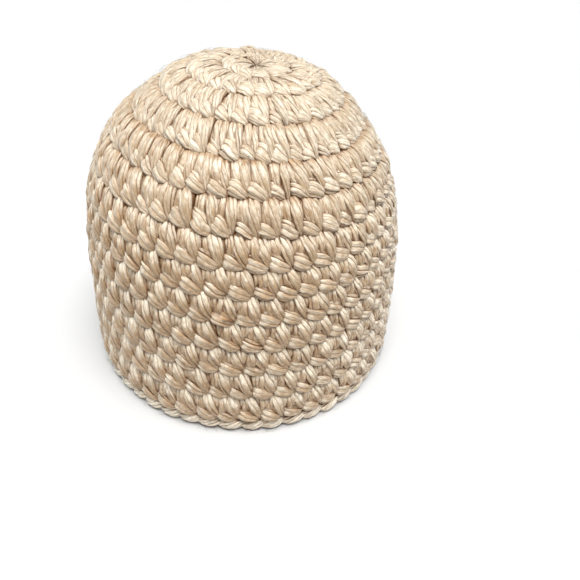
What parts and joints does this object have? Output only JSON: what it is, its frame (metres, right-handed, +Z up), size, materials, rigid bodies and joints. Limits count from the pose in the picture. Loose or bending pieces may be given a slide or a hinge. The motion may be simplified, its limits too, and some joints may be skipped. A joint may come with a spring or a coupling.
{
  "type": "crochet hat",
  "caption": "Close-fitting crocheted hat worked in thick rounds from the crown down to a rope-like edge, open underneath for a head.",
  "frame": {"origin": "middle of the underside of the edge, on the surface that the hat rests on", "axes": "+Z up through the crown, -Y towards the side that the picture shows, +X to the right of that view"},
  "size_m": [0.195, 0.195, 0.1835],
  "materials": {
    "yarn": "thick cream and beige yarn, soft, with a slight gloss"
  },
  "bodies": {
    "root": {"round_01": "yarn", "round_02": "yarn", "round_03": "yarn", "round_04": "yarn", "round_05": "yarn", "round_06": "yarn", "round_07": "yarn", "round_08": "yarn", "round_09": "yarn", "round_10": "yarn", "round_11": "yarn", "round_12": "yarn", "round_13": "yarn", "edge_chain": "yarn"}
  },
  "joints": []
}
